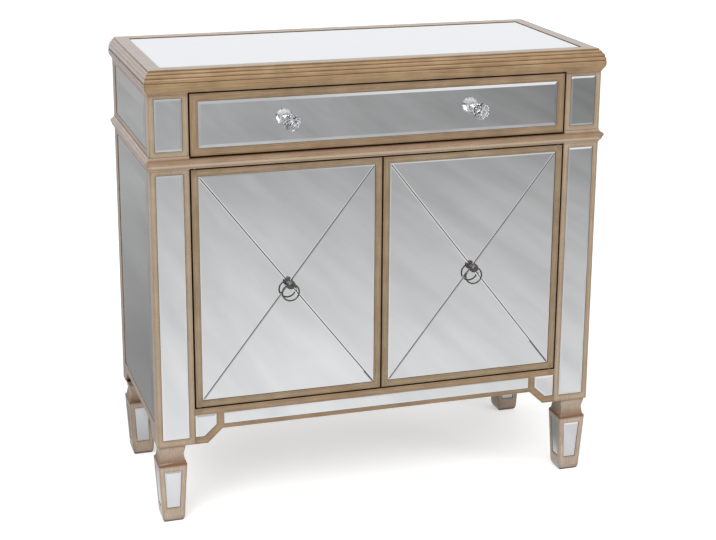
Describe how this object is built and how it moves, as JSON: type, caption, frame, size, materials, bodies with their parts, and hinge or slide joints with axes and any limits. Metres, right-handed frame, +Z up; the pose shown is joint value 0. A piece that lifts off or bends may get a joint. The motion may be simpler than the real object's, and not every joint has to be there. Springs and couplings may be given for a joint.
{
  "type": "chiffonier",
  "caption": "Mirrored cupboard on tapered feet, with a drawer over a pair of doors, crystal knobs and ring pulls.",
  "frame": {"origin": "on the floor, under the middle of the whole object with its knobs", "axes": "+X to the object's right seen from the front, -Y out of the front, +Z up"},
  "size_m": [0.9, 0.4316, 0.879],
  "materials": {
    "champagne_paint": "satin champagne metallic paint on MDF",
    "mirror": "bevelled silvered mirror",
    "interior_board": "brown stained board",
    "crystal": "clear faceted glass",
    "chrome": "polished",
    "gunmetal": "dark burnished metal",
    "steel": "plain steel",
    "catch_plastic": "matte"
  },
  "bodies": {
    "carcass": {"apron_mirror_centre": "mirror", "apron_mirror_left": "mirror", "apron_mirror_right": "mirror", "back_panel": "interior_board", "bottom_board": "interior_board", "divider_board": "champagne_paint", "door_catch": "catch_plastic", "drawer_guide_left": "interior_board", "drawer_guide_right": "interior_board", "foot_back_left": "champagne_paint", "foot_back_right": "champagne_paint", "foot_front_left": "champagne_paint", "foot_front_right": "champagne_paint", "front_apron": "champagne_paint", "front_post_left": "champagne_paint", "front_post_right": "champagne_paint", "pivot_pin_bottom_left": "steel", "pivot_pin_bottom_right": "steel", "pivot_pin_top_left": "steel", "pivot_pin_top_right": "steel", "post_mirror_lower_left": "mirror", "post_mirror_lower_right": "mirror", "post_mirror_upper_left": "mirror", "post_mirror_upper_right": "mirror", "shelf": "interior_board", "side_mirror_lower_left": "mirror", "side_mirror_lower_right": "mirror", "side_mirror_upper_left": "mirror", "side_mirror_upper_right": "mirror", "side_panel_left": "champagne_paint", "side_panel_right": "champagne_paint", "top_frame": "champagne_paint", "top_mirror": "mirror", "waist_moulding_front": "champagne_paint", "waist_moulding_left": "champagne_paint", "waist_moulding_right": "champagne_paint"},
    "drawer": {"crystal_knob_left": "crystal", "crystal_knob_right": "crystal", "drawer_back": "interior_board", "drawer_bottom": "interior_board", "drawer_front": "champagne_paint", "drawer_mirror": "mirror", "drawer_side_left": "interior_board", "drawer_side_right": "interior_board", "knob_base_left": "chrome", "knob_base_right": "chrome"},
    "door_left": {"door_left": "champagne_paint", "door_pane_bottom_left": "mirror", "door_pane_left_left": "mirror", "door_pane_right_left": "mirror", "door_pane_top_left": "mirror", "pull_boss_left": "gunmetal"},
    "door_right": {"door_pane_bottom_right": "mirror", "door_pane_left_right": "mirror", "door_pane_right_right": "mirror", "door_pane_top_right": "mirror", "door_right": "champagne_paint", "pull_boss_right": "gunmetal"},
    "ring_left": {"pull_ring_left": "gunmetal"},
    "ring_right": {"pull_ring_right": "gunmetal"}
  },
  "joints": [
    {"name": "drawer_slide", "type": "slide", "parent": "carcass", "child": "drawer", "axis": [0, -1, 0], "range_m": [0, 0.25]},
    {"name": "door_left_swing", "type": "hinge", "parent": "carcass", "child": "door_left", "pos_m": [-0.359, -0.16617, 0.46325], "axis": [0, 0, -1], "range_deg": [0, 105]},
    {"name": "door_right_swing", "type": "hinge", "parent": "carcass", "child": "door_right", "pos_m": [0.359, -0.16617, 0.46325], "axis": [0, 0, 1], "range_deg": [0, 105]},
    {"name": "ring_left_swing", "type": "hinge", "parent": "door_left", "child": "ring_left", "pos_m": [-0.18375, -0.18267, 0.46325], "axis": [-1, 0, 0], "range_deg": [-18, 90]},
    {"name": "ring_right_swing", "type": "hinge", "parent": "door_right", "child": "ring_right", "pos_m": [0.18375, -0.18267, 0.46325], "axis": [-1, 0, 0], "range_deg": [-18, 90]}
  ]
}
